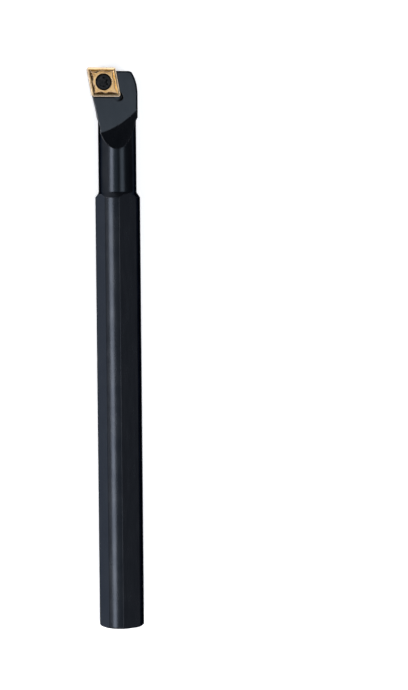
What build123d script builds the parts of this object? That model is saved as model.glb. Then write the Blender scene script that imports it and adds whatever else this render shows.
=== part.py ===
from build123d import *
import math
import os

# Screw-clamp boring bar, right hand, for one 80 degree rhombic insert.
# Millimetres. The bar's axis is Y, with the cutting head at +Y. X points right and Z up,
# square to the flats. The origin is the centre of the shank's end face.

# Shank
bar_length = 125.0            # shank end to end cutting edge
shank_diameter = 10.0
across_flats = 9.0            # four flats, 90 degrees apart
flat_edge_round = 0.5         # broken edge between a flat and the round
shank_end_chamfer = 0.3

# Neck and shoulder
neck_diameter = 8.5
neck_start = 27.5             # cutting edge back to the shank end of the neck
shoulder_length = 1.1         # cone from the neck up to the shank
neck_corner_radius = 0.6      # hollow corner at each end of the neck

# Turned head
head_diameter = 9.3
head_length = 11.6            # cutting edge back to the end of the neck
head_back_length = 0.7        # cone from the neck up to the head
face_setback = 0.66           # cutting edge to the head's front face
nose_length = 5.5             # cutting edge back to where the head's side starts to round
nose_arc_radius = 9.0
nose_arc_turn = 28.5          # degrees that the side turns in before the front corner
underside_height = 4.35       # axis down to the milled underside of the head
rake_edge_break = 0.35        # broken edge round the front and right of the rake face
edge_break_slope = 45.0

# Cutting point and rake face
tip_reach = 7.4               # axis to the side of the cutting point
radial_rake = 17.0            # degrees that the insert leans out towards its side
insert_proud = 0.85           # insert's top above the milled rake face

# Milled run-out behind the rake face: a cone about an axis square to the rake face
runout_radius = 18.8
runout_slope = 33.0           # degrees between the run-out's wall and the rake face
runout_centre_side = -2.4     # cutting point across to the run-out's axis, outside the bar
runout_centre_back = -3.6     # cutting edge back to the run-out's axis, in front of the bar

# Support under the insert
side_recess = 0.28            # insert's side edge to the support's side wall
support_run_on = 3.6          # end of the head back to the support's hidden end
support_width = 2.95          # rear end of the side wall across to the hidden edge
support_depth = 5.5           # cutting edges down to the foot of the support
support_relief_height = 2.5   # bevel round the foot of the support, up its walls
support_relief_width = 1.5    # and in from them

# Insert
inscribed_circle = 6.35
insert_thickness = 2.38
insert_corner = 80.0          # degrees, at the cutting point
corner_radius = 0.4
clearance_angle = 7.0
insert_hole_diameter = 2.8
countersink_diameter = 3.75

# Chip breaker: a gently sloping rim, a groove, and a wavy-sided plateau round the hole
edge_land = 0.1
rim_width = 0.46              # edge to the groove
rim_slope = 7.0               # degrees down from the land
groove_slope = 26.0           # the groove's outer wall
groove_corner_radius = 0.12
plateau_wall_slope = 58.0
plateau_inset_middle = 0.74   # edge to the plateau at the middle of each side
plateau_inset_quarter = 1.08
plateau_inset_corner = 0.84
quarter_place = 0.27          # share of a side from its end to the deepest inset

# Insert pocket
seat_clearance = 0.01         # between the insert's flanks and the pocket's walls
wall_relief_width = 0.22      # gap round the insert above its seat
wall_relief_depth = 1.35
corner_relief_radius = 1.02
corner_relief_extra = 0.15    # corner relief below the pocket's floor
corner_relief_in = 0.21       # insert's hidden sharp corner across to the relief's axis
corner_relief_forward = 0.05  # and from the corner towards the front

# Clamp screw
screw_diameter = 2.5
thread_clearance = 0.02
screw_length = 4.6
screw_head_diameter = 3.3
screw_head_rim = 0.2
screw_head_round = 0.12
screw_cone_angle = 60.0       # included angle, the same as the insert's countersink
screw_point_chamfer = 0.3
socket_diameter = 2.3         # six-lobe socket, across opposite lobes
socket_waist = 1.7            # across opposite valleys
socket_valley_radius = 0.5
socket_lobe_round = 0.14
socket_depth = 0.95

# Reach of a cutting tool past the metal that it removes
overcut = 1.0

shank_radius = shank_diameter / 2
neck_radius = neck_diameter / 2
head_radius = head_diameter / 2
front_face = bar_length - face_setback
neck_back = bar_length - neck_start

# Plane of the cutting edges: its x runs across the bar from the cutting point, its y runs
# along the bar to the front, and its z is square to the insert's top.
rake = Plane(
    origin=(-tip_reach, bar_length, 0),
    x_dir=(math.cos(math.radians(radial_rake)), 0, math.sin(math.radians(radial_rake))),
    z_dir=(-math.sin(math.radians(radial_rake)), 0, math.cos(math.radians(radial_rake))),
)

# The insert's sharp corner and centre, in the rake plane
half_corner = math.radians(insert_corner / 2)
sharp_corner = corner_radius - corner_radius / math.tan(half_corner)
insert_centre = (
    sharp_corner + inscribed_circle / 2 / math.tan(half_corner),
    -inscribed_circle / 2,
)
side_lean = math.tan(math.radians(90 - insert_corner))

# Depths of the insert's rim and groove below its cutting edges
rim_depth = (rim_width - edge_land) * math.tan(math.radians(rim_slope))
groove_fall = (plateau_inset_quarter - rim_width) * math.tan(math.radians(groove_slope))
groove_depth = rim_depth + groove_fall

# The milled rake face over the bar's axis, and where the axis lies across from the point
rake_face_height = tip_reach * math.sin(math.radians(radial_rake)) - insert_proud
axis_side = tip_reach * math.cos(math.radians(radial_rake))


def on_rake(side, back, height):
    """A place in the rake plane's own directions."""
    return rake * Pos(side, -back, height)


def at_insert(height):
    """A place on the insert's axis, at a height over its cutting edges."""
    return rake * Pos(insert_centre[0], insert_centre[1], height)


# --- bar body ---------------------------------------------------------------------------


def nose_points():
    """Radius and place of the head's rounded nose: its start, middle and end, and those of
    the small front corner that follows it."""
    turn = math.radians(nose_arc_turn)
    nose_start = bar_length - nose_length
    nose_end = nose_start + nose_arc_radius * math.sin(turn)
    end_radius = head_radius - nose_arc_radius * (1 - math.cos(turn))
    front_corner = (front_face - nose_end) / (1 - math.sin(turn))
    points = []
    for angle in (0, turn / 2, turn):
        radius = head_radius - nose_arc_radius * (1 - math.cos(angle))
        points.append((radius, nose_start + nose_arc_radius * math.sin(angle)))
    for angle in ((turn + math.pi / 2) / 2, math.pi / 2):
        radius = end_radius - front_corner * (math.cos(turn) - math.cos(angle))
        points.append((radius, nose_end + front_corner * (math.sin(angle) - math.sin(turn))))
    return points


def turned_profile():
    """Half section of the turned bar: x is the radius, y the place along the axis."""
    nose = nose_points()
    outline = Polyline(
        (0, front_face),
        (0, 0),
        (shank_radius - shank_end_chamfer, 0),
        (shank_radius, shank_end_chamfer),
        (shank_radius, neck_back - shoulder_length),
        (neck_radius, neck_back),
        (neck_radius, bar_length - head_length),
        (head_radius, bar_length - head_length + head_back_length),
        nose[0],
    )
    outline += ThreePointArc(*nose[:3])
    outline += ThreePointArc(*nose[2:])
    outline += Line(nose[-1], (0, front_face))
    section = make_face(outline)
    neck_ends = [
        section.vertices().sort_by_distance((neck_radius, place))[0]
        for place in (neck_back, bar_length - head_length)
    ]
    return fillet(neck_ends, neck_corner_radius)


def flats_cutter():
    """Everything outside the shank's section, from its end to the neck."""
    section = Circle(shank_radius) & Rectangle(across_flats, across_flats)
    section = fillet(section.vertices(), flat_edge_round)
    along = Plane(origin=(0, -overcut, 0), x_dir=(1, 0, 0), z_dir=(0, 1, 0))
    ring = Circle(shank_radius + overcut) - section
    return extrude(along * ring, neck_back + overcut)


def side_wall():
    """The support's side wall in the rake plane, from its front to behind the rake face.

    Beside the insert it follows the insert's side. Behind it, it closes in until it is
    tangent to the round of the neck at the end of the head.
    """
    lean = math.radians(radial_rake + clearance_angle)
    front = sharp_corner + side_recess / math.sin(math.radians(insert_corner))
    knee = front + inscribed_circle * side_lean
    at_neck = tip_reach * math.cos(lean) - neck_radius
    at_neck /= math.cos(math.radians(clearance_angle))
    slope = (at_neck - knee) / (head_length - inscribed_circle)
    end = head_length + support_run_on
    return [
        (front + face_setback * side_lean, -face_setback),
        (knee, -inscribed_circle),
        (at_neck + slope * (end - head_length), -end),
    ]


def insert_support():
    """The part of the head that reaches out under the insert, with its sloping walls. It
    ends at the rear arc of the rake face."""
    wall = side_wall()
    hidden_edge, back = wall[-1][0] + support_width, wall[-1][1]
    plan = Polyline(*wall, (hidden_edge, back), (hidden_edge, -face_setback), close=True)
    block = extrude(rake * make_face(plan), -support_depth, taper=clearance_angle)
    foot = block.faces().sort_by(Axis(rake.origin, rake.z_dir))[0]
    outer_edges = foot.edges().sort_by(Axis(rake.origin, rake.x_dir))[:3]
    block = chamfer(outer_edges, support_relief_width, support_relief_height, reference=foot)
    inside_arc = Cylinder(runout_radius, 2 * support_depth)
    return block & on_rake(runout_centre_side, runout_centre_back, 0) * inside_arc


def side_cutter():
    """What lies outside the side wall, beside the whole length of the head."""
    front, knee, end = side_wall()
    margin = 3 * overcut
    lead_in = (front[0] - (margin + face_setback) * side_lean, margin)
    inside = Polyline(
        lead_in, knee, end, (2 * tip_reach, end[1]), (2 * tip_reach, margin), close=True
    )
    depth = 2 * head_diameter
    keep = extrude(rake * make_face(inside), -depth, taper=clearance_angle)
    slab = Box(
        3 * tip_reach, head_length + overcut, depth, align=(Align.CENTER, Align.MAX, Align.MAX)
    )
    return rake * Pos(0, overcut, 0) * slab - keep


def runout_cutter(sink):
    """The milled clearing over the rake face, with its conical run-out, set a little deeper
    than the face."""
    height = head_diameter
    spread = 1 / math.tan(math.radians(runout_slope))
    cone = Cone(
        runout_radius - sink * spread,
        runout_radius + height * spread,
        height + sink,
        align=(Align.CENTER, Align.CENTER, Align.MIN),
    )
    return on_rake(runout_centre_side, runout_centre_back, -insert_proud - sink) * cone


def rake_edge_cutter():
    """What the broken edge takes off round the front and right of the rake face. It fades
    out where the run-out begins."""
    edge = [
        (axis_side + math.sqrt(radius**2 - rake_face_height**2), place - bar_length)
        for radius, place in nose_points()
    ]
    rear = -2 * runout_radius
    plan = Polyline(
        edge[0], (edge[0][0], rear), (-tip_reach, rear), (-tip_reach, edge[-1][1]), edge[-1]
    )
    plan += ThreePointArc(*edge[:3])
    plan += ThreePointArc(*edge[2:])
    face = offset(make_face(plan), -rake_edge_break)
    sink = 3 * rake_edge_break
    keep = extrude(on_rake(0, 0, -insert_proud) * face, -sink, taper=-edge_break_slope)
    return runout_cutter(sink) - keep


def pocket_cutter():
    """The insert's seat, the relief over its walls and the drilled corner relief."""
    upright = (Align.CENTER, Align.CENTER, Align.MIN)
    seat = insert_prism(seat_clearance)
    clear_height = insert_proud + overcut
    gap = extrude(
        at_insert(-wall_relief_depth) * insert_outline(wall_relief_width),
        wall_relief_depth + clear_height,
    )
    relief_floor = insert_thickness + corner_relief_extra
    relief = Cylinder(corner_relief_radius, relief_floor + clear_height, align=upright)
    hidden_corner = rhombus(0)[2]
    relief_place = Pos(
        hidden_corner.X - corner_relief_in, hidden_corner.Y + corner_relief_forward, 0
    )
    return seat + gap + at_insert(-relief_floor) * relief_place * relief


def screw_hole_cutter():
    """The tapped hole at its full thread diameter, right through the head."""
    downward = (Align.CENTER, Align.CENTER, Align.MAX)
    hole = Cylinder(screw_diameter / 2, head_diameter, align=downward)
    return at_insert(-insert_thickness) * hole


def underside_cutter():
    """What lies below the milled underside of the head."""
    slab = Box(
        4 * tip_reach, head_length, head_diameter, align=(Align.CENTER, Align.MIN, Align.MAX)
    )
    return Pos(0, bar_length - head_length, -underside_height) * slab


def bar_body():
    body = revolve(turned_profile(), Axis.Y) - flats_cutter() - side_cutter()
    body += insert_support()
    body -= underside_cutter()
    body -= runout_cutter(0)
    body -= rake_edge_cutter()
    body -= pocket_cutter()
    return body - screw_hole_cutter()


# --- insert -----------------------------------------------------------------------------


def rhombus(inset):
    """Corners of the insert's rhombus about its centre, with each side moved in."""
    half_height = inscribed_circle / 2 - inset
    sharp = half_height / math.tan(half_corner)
    blunt = half_height * math.tan(half_corner)
    lean = half_height * side_lean
    width = half_height / math.sin(2 * half_corner)
    return [
        Vector(-width - lean, half_height),
        Vector(width - lean, half_height),
        Vector(width + lean, -half_height),
        Vector(-width + lean, -half_height),
    ]


def insert_outline(grow):
    """The insert's rounded rhombus, grown by an even margin."""
    corners = rhombus(-grow)
    outline = make_face(Polyline(*corners, close=True))
    return fillet(outline.vertices(), corner_radius + grow)


def insert_prism(grow):
    """The insert's solid shape with its flank clearance, from its edges to its seat."""
    return extrude(at_insert(0) * insert_outline(grow), -insert_thickness, taper=clearance_angle)


def wavy_outline(grow):
    """The plateau's outline, which comes nearest the edge at mid side and at the corners."""
    stops = [
        (0.0, plateau_inset_corner),
        (quarter_place, plateau_inset_quarter),
        (0.5, plateau_inset_middle),
        (1 - quarter_place, plateau_inset_quarter),
    ]
    points = []
    for side in range(4):
        for place, inset in stops:
            corners = rhombus(inset - grow)
            start = corners[side]
            finish = corners[(side + 1) % 4]
            points.append(start + (finish - start) * place)
    return make_face(Spline(*points, periodic=True))


def groove_outline(inset):
    """The rhombus of the groove's edge or foot, with its small corner rounds."""
    outline = make_face(Polyline(*rhombus(inset), close=True))
    return fillet(outline.vertices(), groove_corner_radius)


def chip_breaker_dish():
    """What the sloping rim and the groove's outer wall take off the insert's top."""
    sections = [
        at_insert(0) * insert_outline(-edge_land),
        at_insert(-rim_depth) * groove_outline(rim_width),
        at_insert(-groove_depth) * groove_outline(plateau_inset_quarter),
    ]
    return loft(sections, ruled=True)


def plateau():
    """The plateau round the hole, with its sloping wavy walls."""
    drop = groove_depth * math.tan(math.radians(plateau_wall_slope))
    foot = at_insert(-drop) * wavy_outline(groove_depth)
    return loft([at_insert(0) * wavy_outline(0), foot])


def countersink_depth(diameter):
    """Depth below the insert's edges at which its countersink has this diameter."""
    return (countersink_diameter - diameter) / 2 / math.tan(math.radians(screw_cone_angle / 2))


def insert_hole_cutter():
    downward = (Align.CENTER, Align.CENTER, Align.MAX)
    hole = Cylinder(insert_hole_diameter / 2, insert_thickness, align=downward)
    cone = Cone(
        insert_hole_diameter / 2,
        countersink_diameter / 2,
        countersink_depth(insert_hole_diameter),
        align=downward,
    )
    return at_insert(0) * (hole + cone)


def cutting_insert():
    blank = insert_prism(0) - chip_breaker_dish() + plateau()
    return blank - insert_hole_cutter()


# --- clamp screw ------------------------------------------------------------------------


def socket_cutter():
    """The six-lobe socket."""
    valley_ring = socket_waist / 2 + socket_valley_radius
    section = Circle(socket_diameter / 2)
    section -= PolarLocations(valley_ring, 6) * Circle(socket_valley_radius)
    section = fillet(section.vertices(), socket_lobe_round)
    return extrude(section, -socket_depth)


def clamp_screw():
    head_radius_out = screw_head_diameter / 2 - seat_clearance
    thread_radius = screw_diameter / 2 - thread_clearance
    rim_foot = -countersink_depth(screw_head_diameter)
    top = rim_foot + screw_head_rim
    cone_rate = math.tan(math.radians(screw_cone_angle / 2))
    cone_foot = rim_foot - (head_radius_out - thread_radius) / cone_rate
    point = top - screw_length
    profile = Polyline(
        (0, top),
        (head_radius_out, top),
        (head_radius_out, rim_foot),
        (thread_radius, cone_foot),
        (thread_radius, point + screw_point_chamfer),
        (thread_radius - screw_point_chamfer, point),
        (0, point),
        close=True,
    )
    section = make_face(profile)
    rim = section.vertices().sort_by(Axis.X)[-2:].sort_by(Axis.Y)[-1]
    section = fillet(rim, screw_head_round)
    screw = revolve(Plane.XZ * section, Axis.Z)
    return at_insert(0) * (screw - Pos(0, 0, top) * socket_cutter())


PARTS = {
    "bar_body": bar_body,
    "cutting_insert": cutting_insert,
    "clamp_screw": clamp_screw,
}

os.makedirs("parts", exist_ok=True)
for name, make in PARTS.items():
    export_step(make(), f"parts/{name}.step")
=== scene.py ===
"""Boring bar: finishes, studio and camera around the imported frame.

The three CAD nodes keep their shapes and get procedural finishes. In the finishes, lengths are in
millimetres on the object and colours are linear RGB. The stage and the lamps are in metres.
"""

import math

import bpy
from mathutils import Matrix, Vector

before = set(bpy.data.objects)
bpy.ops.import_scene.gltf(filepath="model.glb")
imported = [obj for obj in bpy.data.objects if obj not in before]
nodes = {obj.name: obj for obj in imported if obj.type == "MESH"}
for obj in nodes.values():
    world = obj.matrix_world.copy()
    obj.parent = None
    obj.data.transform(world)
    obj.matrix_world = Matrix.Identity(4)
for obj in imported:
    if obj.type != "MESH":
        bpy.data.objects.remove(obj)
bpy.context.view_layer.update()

MM = 0.001

# The bar's main places, in millimetres and with the values of part.py. The bar lies along Y with
# its free end at 0, and the rake face holds the cutting point.
BAR_LENGTH = 125.0
NECK_BACK = 97.5  # the shank and its flats end here
TIP_REACH = 7.4  # the bar's axis out to the cutting point
RADIAL_RAKE = math.radians(17.0)
INSERT_CORNER = math.radians(80.0)
RUNOUT_SIDE = -2.4  # cutting point across to the axis of the rake face's run-out
RUNOUT_BACK = -3.6  # cutting point back to the same axis
INSERT_SIDE = 3.707  # cutting point across to the insert's middle
INSERT_BACK = 3.175  # cutting point back to the insert's middle

ALONG = Vector((0, 1, 0))
RAKE_ACROSS = Vector((math.cos(RADIAL_RAKE), 0, math.sin(RADIAL_RAKE)))
RAKE_SQUARE = Vector((-math.sin(RADIAL_RAKE), 0, math.cos(RADIAL_RAKE)))
CUTTING_POINT = Vector((-TIP_REACH, BAR_LENGTH, 0))

# Colours
OXIDE_DARK = (0.014, 0.016, 0.020)
OXIDE_LIGHT = (0.018, 0.020, 0.024)
OXIDE_BROWN = (0.021, 0.020, 0.019)
OXIDE_FLAT = (0.088, 0.096, 0.112)
OXIDE_RAKE = (0.017, 0.022, 0.027)
OXIDE_GRAZING = (0.3, 0.31, 0.33)
# bright steel edges: wear and painted highlight
BARE_STEEL_WEAR_AND_HIGHLIGHT = (0.20, 0.20, 0.21)
GOLD_DEEP = (0.225, 0.132, 0.047)
GOLD_LIGHT = (0.33, 0.222, 0.105)
# painted shade in the chip breaker's groove and on its floor
GOLD_GROOVE_PAINTED_SHADE = (0.14, 0.07, 0.010)
GOLD_GROOVE_FLOOR_PAINTED_SHADE = (0.12, 0.055, 0.004)
# painted highlight on the insert's land
GOLD_LAND_PAINTED_HIGHLIGHT = (0.62, 0.50, 0.36)
# painted shade in the insert's hollows
GOLD_HOLLOW_PAINTED_SHADE = (0.20, 0.10, 0.02)
# pale insert edges: wear and painted highlight
GOLD_WEAR_AND_HIGHLIGHT = (0.72, 0.58, 0.46)
SCREW_DARK = (0.008, 0.009, 0.010)
SCREW_LIGHT = (0.016, 0.016, 0.017)
# bright screw edges: wear and painted highlight
SCREW_WEAR_AND_HIGHLIGHT = (0.16, 0.17, 0.175)
FLOOR_GREY = (0.84, 0.84, 0.85)
FLOOR_PALE = (0.88, 0.88, 0.88)
STUDIO_AIR = (0.195, 0.21, 0.24)
DAYLIGHT = (0.82, 0.92, 1.0)
WHITE = (1.0, 1.0, 1.0)

# Pitch of the tool marks, and how far the turned rings stray along the bar
TURNING_PITCH = 0.16
MILLING_PITCH = 0.3
SCREW_RING_PITCH = 0.09
RING_WOBBLE = 0.9

RAKE_ROUGHNESS = 0.25
RAKE_EVENNESS = 0.85  # how far the rake face is free of the smears on the rest
HOLLOW_SIZE = 0.9  # reach of the shade that finds the insert's hollows

# The floor's own light, which only the camera and reflections see: its strength near the bar and
# far from it, and the distances between which it changes
FLOOR_GLOW = 0.52
BACKDROP_GLOW = 0.95
GLOW_NEAR = 500.0
GLOW_FAR = 1500.0

# Sweep: its height just under the lower flat, then radius and height of each ring, in metres
FLOOR_Z = -4.51 * MM
SWEEP_RINGS = [(0.4, 0), (1.2, 0), (2.4, 0), (2.8, 0.05), (3.1, 0.2), (3.2, 0.75)]
SWEEP_SEGMENTS = 96

# Camera: how far it stands round the bar to the left and how far towards the head, how far the
# bar leans in the picture, its distance and lens, and where the bar's middle lies off the optical
# axis. Angles are in degrees and lengths in millimetres.
CAMERA_ROLL = 32.0
CAMERA_TILT = 4.095
CAMERA_LEAN = -0.421
CAMERA_DISTANCE = 451.7
CAMERA_LENS = 105.2
CAMERA_SENSOR = 36.0
CAMERA_REACH = (10.0, 20000.0)
PICTURE_OFFSET = (-18.98, -0.93)


# --- node helpers -------------------------------------------------------------------------


class Tree:
    """A material's node tree, with short calls for the nodes that the finishes share."""

    def __init__(self, name):
        self.material = bpy.data.materials.new(name)
        self.material.use_nodes = True
        self.tree = self.material.node_tree
        self.tree.nodes.clear()
        self.shader = self.add("ShaderNodeBsdfPrincipled")
        output = self.add("ShaderNodeOutputMaterial")
        self.put(output.inputs["Surface"], self.shader.outputs[0])

    def add(self, kind, **settings):
        node = self.tree.nodes.new(kind)
        for key, value in settings.items():
            setattr(node, key, value)
        return node

    def put(self, socket, value):
        """Links an output to the socket, or sets the socket's own value."""
        if isinstance(value, bpy.types.NodeSocket):
            self.tree.links.new(value, socket)
        elif socket.type == "RGBA":
            socket.default_value = (*value, 1)
        else:
            socket.default_value = value

    def set(self, **values):
        """Puts values on the shader, by its sockets' names with _ for a space."""
        for name, value in values.items():
            self.put(self.shader.inputs[name.replace("_", " ")], value)

    def math(self, operation, *values):
        node = self.add("ShaderNodeMath", operation=operation)
        for socket, value in zip(node.inputs, values):
            self.put(socket, value)
        return node.outputs[0]

    def times(self, first, second):
        return self.math("MULTIPLY", first, second)

    def vector_math(self, operation, *values, output="Vector"):
        node = self.add("ShaderNodeVectorMath", operation=operation)
        for socket, value in zip(node.inputs, values):
            self.put(socket, value)
        return node.outputs[output]

    def dot(self, first, second):
        return self.vector_math("DOT_PRODUCT", first, second, output="Value")

    def component(self, vector, axis):
        node = self.add("ShaderNodeSeparateXYZ")
        self.put(node.inputs[0], vector)
        return node.outputs[axis]

    def position(self, scale=(1, 1, 1)):
        """The place on the object in millimetres, stretched by scale."""
        place = self.add("ShaderNodeTexCoord").outputs["Object"]
        return self.vector_math("MULTIPLY", place, tuple(s / MM for s in scale))

    def position_from(self, point):
        return self.vector_math("SUBTRACT", self.position(), point)

    def normal(self):
        return self.add("ShaderNodeNewGeometry").outputs["Normal"]

    def noise(self, vector, scale, detail=3.0, roughness=0.55):
        node = self.add("ShaderNodeTexNoise")
        self.put(node.inputs["Vector"], vector)
        self.put(node.inputs["Scale"], scale)
        self.put(node.inputs["Detail"], detail)
        self.put(node.inputs["Roughness"], roughness)
        return node.outputs["Fac"]

    def ramp(self, value, low, high, start=0.0, end=1.0):
        """Eases from start to end while the value goes from low to high."""
        node = self.add("ShaderNodeMapRange", interpolation_type="SMOOTHSTEP")
        self.put(node.inputs["Value"], value)
        self.put(node.inputs["From Min"], low)
        self.put(node.inputs["From Max"], high)
        self.put(node.inputs["To Min"], start)
        self.put(node.inputs["To Max"], end)
        return node.outputs["Result"]

    def band(self, value, low, low_in, high_in, high):
        """1 while the value is between low_in and high_in, easing to 0 at low and at high."""
        return self.times(self.ramp(value, low, low_in), self.ramp(value, high_in, high, start=1.0, end=0.0))

    def waves(self, length, pitch):
        """A sine along a length, from -1 to 1."""
        return self.math("SINE", self.times(length, 2 * math.pi / pitch))

    def mix(self, share, first, second):
        node = self.add("ShaderNodeMix", data_type="RGBA")
        self.put(node.inputs["Factor"], share)
        for name, value in (("A", first), ("B", second)):
            self.put([s for s in node.inputs if s.name == name and s.type == "RGBA"][0], value)
        return [s for s in node.outputs if s.type == "RGBA"][0]

    def mix_value(self, share, first, second):
        node = self.add("ShaderNodeMix", data_type="FLOAT")
        for name, value in (("Factor", share), ("A", first), ("B", second)):
            self.put([s for s in node.inputs if s.name == name and s.type == "VALUE"][0], value)
        return node.outputs[0]

    def tint(self, colour, mask, share, other):
        """Blends another colour in where the mask is 1, by at most a share."""
        return self.mix(self.times(mask, share), colour, other)

    def round_edges(self, radius):
        """The surface's normal, as if its edges were rounded by a radius in millimetres."""
        bevel = self.add("ShaderNodeBevel", samples=6)
        self.put(bevel.inputs["Radius"], radius * MM)
        return bevel.outputs[0]

    def edge(self, radius):
        """How sharply the surface turns within a radius in millimetres: 0 on a plain face."""
        return self.math("SUBTRACT", 1.0, self.dot(self.round_edges(radius), self.normal()))

    def bump(self, height, depth, normal):
        """Turns a height from 0 to 1 into bumps of a depth in millimetres."""
        node = self.add("ShaderNodeBump")
        self.put(node.inputs["Strength"], 1.0)
        self.put(node.inputs["Distance"], depth * MM)
        self.put(node.inputs["Height"], height)
        self.put(node.inputs["Normal"], normal)
        return node.outputs[0]


def rake_point(side, back):
    """The point of the rake plane that lies this far across and back from the cutting point."""
    return CUTTING_POINT + RAKE_ACROSS * side - ALONG * back


def rake_radius(t, side, back):
    """Distance from an axis that stands square on the rake plane."""
    offset = t.position_from(rake_point(side, back))
    across = t.dot(offset, RAKE_ACROSS)
    along = t.dot(offset, ALONG)
    return t.math("SQRT", t.math("ADD", t.times(across, across), t.times(along, along)))


def insert_reach(t):
    """Distance from the insert's middle lines towards its nearest edge."""
    offset = t.position_from(rake_point(INSERT_SIDE, INSERT_BACK))
    side_normal = RAKE_ACROSS * math.sin(INSERT_CORNER) + ALONG * math.cos(INSERT_CORNER)
    to_front = t.math("ABSOLUTE", t.dot(offset, ALONG))
    to_side = t.math("ABSOLUTE", t.dot(offset, side_normal))
    return t.math("MAXIMUM", to_front, to_side)


# --- finishes -----------------------------------------------------------------------------


def steel_regions(t, place):
    """Masks of the shank's four flats and of the rake face."""
    along = t.component(place, "Y")
    normal = t.normal()
    square_on = t.math(
        "MAXIMUM",
        t.math("ABSOLUTE", t.component(normal, "X")),
        t.math("ABSOLUTE", t.component(normal, "Z")),
    )
    on_shank = t.math("LESS_THAN", along, NECK_BACK)
    on_flat = t.times(t.ramp(square_on, low=0.9985, high=0.9999), on_shank)
    on_head = t.math("GREATER_THAN", along, NECK_BACK)
    on_rake = t.times(t.ramp(t.dot(normal, RAKE_SQUARE), low=0.9, high=0.93), on_head)
    return on_flat, on_rake


def steel_marks(t, place, on_flat, on_rake):
    """Rings from turning, straight grinding lines on the flats, arcs from milling on the head."""
    wobble = t.times(t.noise(place, scale=0.35), RING_WOBBLE)
    rings = t.waves(t.math("ADD", t.component(place, "Y"), wobble), TURNING_PITCH)
    ring_depth = t.ramp(t.noise(t.position(scale=(0.2, 5, 0.2)), scale=1.0), low=0.35, high=0.7)
    turned = t.times(rings, ring_depth)
    ground = t.noise(t.position(scale=(9, 0.12, 9)), scale=1.0, detail=4.0, roughness=0.7)
    milled = t.waves(rake_radius(t, RUNOUT_SIDE, RUNOUT_BACK), MILLING_PITCH)
    return t.mix_value(on_rake, t.mix_value(on_flat, turned, ground), milled)


def blackened_steel():
    t = Tree("blackened_steel")
    place = t.position()
    on_flat, on_rake = steel_regions(t, place)
    grain = t.noise(place, scale=14.0, detail=4.0, roughness=0.65)
    marks = steel_marks(t, place, on_flat, on_rake)
    surface = t.bump(marks, depth=0.0012, normal=t.round_edges(radius=0.2))
    surface = t.bump(grain, depth=0.004, normal=surface)

    # blue-black oxide with browner patches, greyer on the flats, and thin bright edges, partly wear and
    # partly painted highlight
    patches = t.ramp(t.noise(place, scale=0.22, detail=5.0, roughness=0.6), low=0.35, high=0.7)
    brown = t.ramp(t.noise(place, scale=0.6, detail=4.0), low=0.6, high=0.85, end=0.3)
    broken = t.ramp(t.noise(place, scale=1.4, detail=5.0, roughness=0.7), low=0.34, high=0.6, start=0.15)
    wear_and_highlight = t.times(t.ramp(t.edge(radius=0.2), low=0.015, high=0.11), broken)
    colour = t.mix(patches, OXIDE_DARK, OXIDE_LIGHT)
    colour = t.mix(brown, colour, OXIDE_BROWN)
    colour = t.tint(colour, mask=wear_and_highlight, share=0.8, other=BARE_STEEL_WEAR_AND_HIGHLIGHT)
    colour = t.tint(colour, mask=on_flat, share=0.36, other=OXIDE_FLAT)
    colour = t.tint(colour, mask=on_rake, share=0.5, other=OXIDE_RAKE)

    # smears along the bar, hardly any on the rake face
    smears = t.noise(t.position(scale=(1.2, 0.18, 1.2)), scale=1.0, detail=3.0)
    rough = t.ramp(smears, low=0.3, high=0.75, start=0.22, end=0.28)
    rough = t.mix_value(t.times(on_rake, RAKE_EVENNESS), rough, RAKE_ROUGHNESS)
    t.set(Base_Color=colour, Roughness=rough, Metallic=1.0, Normal=surface)
    t.set(Specular_Tint=OXIDE_GRAZING)
    return t.material


def gold_carbide():
    t = Tree("gold_carbide")
    place = t.position()
    grain = t.noise(place, scale=11.0, detail=5.0, roughness=0.7)
    coarse = t.noise(place, scale=2.4)
    surface = t.bump(coarse, depth=0.006, normal=t.round_edges(radius=0.06))
    surface = t.bump(grain, depth=0.004, normal=surface)

    # painted shade darkens the chip breaker's groove, and a painted highlight makes the land round it paler
    height = t.dot(t.position_from(CUTTING_POINT), RAKE_SQUARE)
    above_flank = t.ramp(t.dot(t.normal(), RAKE_SQUARE), low=0.2, high=0.4)
    reach = insert_reach(t)
    groove_shade = t.times(t.ramp(height, low=-0.16, high=-0.05, start=1.0, end=0.0), above_flank)
    groove_floor_shade = t.times(t.band(reach, low=2.2, low_in=2.4, high_in=2.55, high=2.75), above_flank)
    land_highlight = t.times(t.ramp(reach, low=2.75, high=2.9), above_flank)
    hue = t.ramp(t.noise(place, scale=0.45, detail=4.0), low=0.38, high=0.62)
    colour = t.mix(hue, GOLD_DEEP, GOLD_LIGHT)
    colour = t.tint(colour, mask=groove_shade, share=0.4, other=GOLD_GROOVE_PAINTED_SHADE)
    colour = t.tint(colour, mask=groove_floor_shade, share=0.8, other=GOLD_GROOVE_FLOOR_PAINTED_SHADE)
    colour = t.tint(colour, mask=land_highlight, share=0.4, other=GOLD_LAND_PAINTED_HIGHLIGHT)

    # painted shade darkens the hollows too, and the edges are paler, partly from wear and partly as a
    # painted highlight
    shade = t.add("ShaderNodeAmbientOcclusion", samples=8, only_local=True)
    t.put(shade.inputs["Distance"], HOLLOW_SIZE * MM)
    hollow_shade = t.ramp(shade.outputs["AO"], low=0.5, high=0.9, start=1.0, end=0.0)
    broken = t.ramp(t.noise(place, scale=4.0), low=0.2, high=0.6)
    wear_and_highlight = t.times(t.ramp(t.edge(radius=0.3), low=0.01, high=0.2), broken)
    colour = t.tint(colour, mask=hollow_shade, share=0.3, other=GOLD_HOLLOW_PAINTED_SHADE)
    colour = t.tint(colour, mask=wear_and_highlight, share=0.6, other=GOLD_WEAR_AND_HIGHLIGHT)
    rough = t.ramp(grain, low=0.3, high=0.7, start=0.2, end=0.3)
    t.set(Base_Color=colour, Roughness=rough, Metallic=1.0, Normal=surface)
    return t.material


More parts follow.
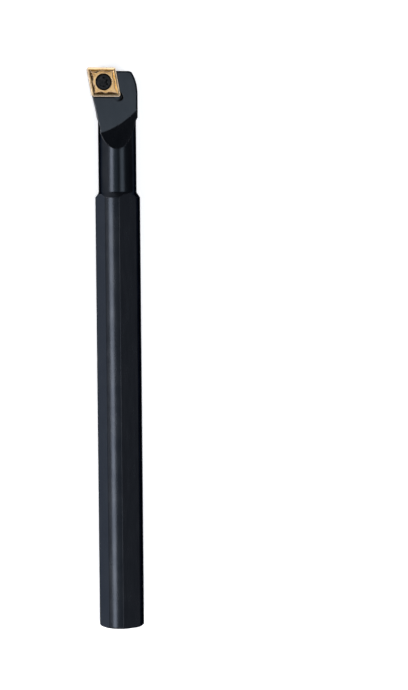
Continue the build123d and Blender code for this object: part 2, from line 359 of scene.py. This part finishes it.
def black_screw():
    t = Tree("black_screw")
    place = t.position()
    rings = t.waves(rake_radius(t, INSERT_SIDE, INSERT_BACK), SCREW_RING_PITCH)
    grain = t.noise(place, scale=12.0, detail=4.0)
    surface = t.bump(rings, depth=0.0012, normal=t.round_edges(radius=0.05))
    surface = t.bump(grain, depth=0.006, normal=surface)
    patches = t.ramp(t.noise(place, scale=1.5), low=0.35, high=0.7)
    broken = t.ramp(t.noise(place, scale=5.0), low=0.4, high=0.6)
    # bright edges, partly wear and partly painted highlight
    wear_and_highlight = t.times(t.ramp(t.edge(radius=0.06), low=0.03, high=0.3), broken)
    colour = t.mix(patches, SCREW_DARK, SCREW_LIGHT)
    colour = t.tint(colour, mask=wear_and_highlight, share=0.7, other=SCREW_WEAR_AND_HIGHLIGHT)
    rough = t.ramp(grain, low=0.3, high=0.7, start=0.2, end=0.3)
    t.set(Base_Color=colour, Roughness=rough, Metallic=1.0, Normal=surface)
    return t.material


def studio_white():
    """Pale sweep: a plain diffuse surface that the camera and reflections see near white."""
    t = Tree("studio_white")
    colour = t.mix(t.noise(t.position(), scale=0.05, detail=2.0), FLOOR_GREY, FLOOR_PALE)
    t.set(Base_Color=colour, Roughness=0.8, Specular_IOR_Level=0.0)
    path = t.add("ShaderNodeLightPath")
    seen = t.math("MAXIMUM", path.outputs["Is Camera Ray"], path.outputs["Is Glossy Ray"])
    seen = t.math("MAXIMUM", seen, path.outputs["Is Transmission Ray"])
    distance = t.vector_math("LENGTH", t.position(), output="Value")
    glow = t.ramp(distance, GLOW_NEAR, GLOW_FAR, start=FLOOR_GLOW, end=BACKDROP_GLOW)
    t.set(Emission_Color=WHITE, Emission_Strength=t.times(seen, glow))
    return t.material


# --- stage --------------------------------------------------------------------------------


def sweep_mesh(name):
    """A round floor with an upturned rim."""
    points = [(0, 0, FLOOR_Z)]
    for radius, height in SWEEP_RINGS:
        for i in range(SWEEP_SEGMENTS):
            angle = 2 * math.pi * i / SWEEP_SEGMENTS
            points.append((radius * math.cos(angle), radius * math.sin(angle), FLOOR_Z + height))
    faces = [(0, 1 + i, 1 + (i + 1) % SWEEP_SEGMENTS) for i in range(SWEEP_SEGMENTS)]
    for ring in range(len(SWEEP_RINGS) - 1):
        inner = 1 + ring * SWEEP_SEGMENTS
        outer = inner + SWEEP_SEGMENTS
        for i in range(SWEEP_SEGMENTS):
            j = (i + 1) % SWEEP_SEGMENTS
            faces.append((inner + i, outer + i, outer + j, inner + j))
    mesh = bpy.data.meshes.new(name)
    mesh.from_pydata(points, [], faces)
    mesh.polygons.foreach_set("use_smooth", [True] * len(faces))
    sweep = bpy.data.objects.new(name, mesh)
    bpy.context.scene.collection.objects.link(sweep)
    return sweep


def soft_box(name, angle, distance, across, along, centre, radiance, colour=WHITE):
    """A lamp along the bar, at an angle in degrees from straight up towards +X.

    It is across wide and along long, with its middle at centre along Y.
    """
    light = bpy.data.lights.new(name, "AREA")
    light.shape = "RECTANGLE"
    light.size = across
    light.size_y = along
    light.energy = radiance * math.pi * across * along
    light.color = colour
    out = Vector((math.sin(math.radians(angle)), 0, math.cos(math.radians(angle))))
    axes = Matrix((ALONG.cross(out), ALONG, out)).transposed().to_4x4()
    lamp = bpy.data.objects.new(name, light)
    lamp.matrix_world = Matrix.Translation(out * distance + ALONG * centre) @ axes
    lamp.visible_camera = False
    bpy.context.scene.collection.objects.link(lamp)


def world_light(colour):
    world = bpy.data.worlds.new("studio")
    world.use_nodes = True
    background = world.node_tree.nodes["Background"]
    background.inputs["Color"].default_value = (*colour, 1)
    background.inputs["Strength"].default_value = 1.0
    bpy.context.scene.world = world


def place_camera():
    roll, tilt, lean = (math.radians(a) for a in (CAMERA_ROLL, CAMERA_TILT, CAMERA_LEAN))
    back = Vector(
        (-math.sin(roll) * math.cos(tilt), math.sin(tilt), math.cos(roll) * math.cos(tilt))
    )
    level = ALONG.cross(back).normalized()
    upright = back.cross(level)
    right = level * math.cos(lean) + upright * math.sin(lean)
    up = upright * math.cos(lean) - level * math.sin(lean)
    offset = back * CAMERA_DISTANCE - right * PICTURE_OFFSET[0] - up * PICTURE_OFFSET[1]
    place = (ALONG * (BAR_LENGTH / 2) + offset) * MM

    camera = bpy.data.cameras.new("camera")
    camera.lens = CAMERA_LENS
    camera.sensor_width = CAMERA_SENSOR
    camera.clip_start = CAMERA_REACH[0] * MM
    camera.clip_end = CAMERA_REACH[1] * MM
    holder = bpy.data.objects.new("camera", camera)
    axes = Matrix((right, up, back)).transposed().to_4x4()
    holder.matrix_world = Matrix.Translation(place) @ axes
    bpy.context.scene.collection.objects.link(holder)
    bpy.context.scene.camera = holder


# --- putting it together ------------------------------------------------------------------


def finish_node(name, material):
    piece = nodes[name]
    piece.data.materials.clear()
    piece.data.materials.append(material)
    return piece


finish_node("bar_body", blackened_steel())
finish_node("cutting_insert", gold_carbide())
finish_node("clamp_screw", black_screw())

floor = sweep_mesh("studio_sweep")
floor.data.materials.append(studio_white())

soft_box("overhead_softbox", angle=-1, distance=0.75, across=0.30, along=0.85, centre=-0.22, radiance=3.3)
soft_box(
    "upper_left_fill",
    angle=-41,
    distance=0.75,
    across=0.35,
    along=0.85,
    centre=-0.22,
    radiance=0.8,
    colour=DAYLIGHT,
)
soft_box("left_strip", angle=-66, distance=0.6, across=0.2, along=0.6, centre=-0.05, radiance=11.2)
soft_box("rear_softbox", angle=-4, distance=0.6, across=1.2, along=0.5, centre=-0.95, radiance=2.0)
world_light(STUDIO_AIR)
place_camera()

bpy.context.scene.view_settings.view_transform = "Standard"
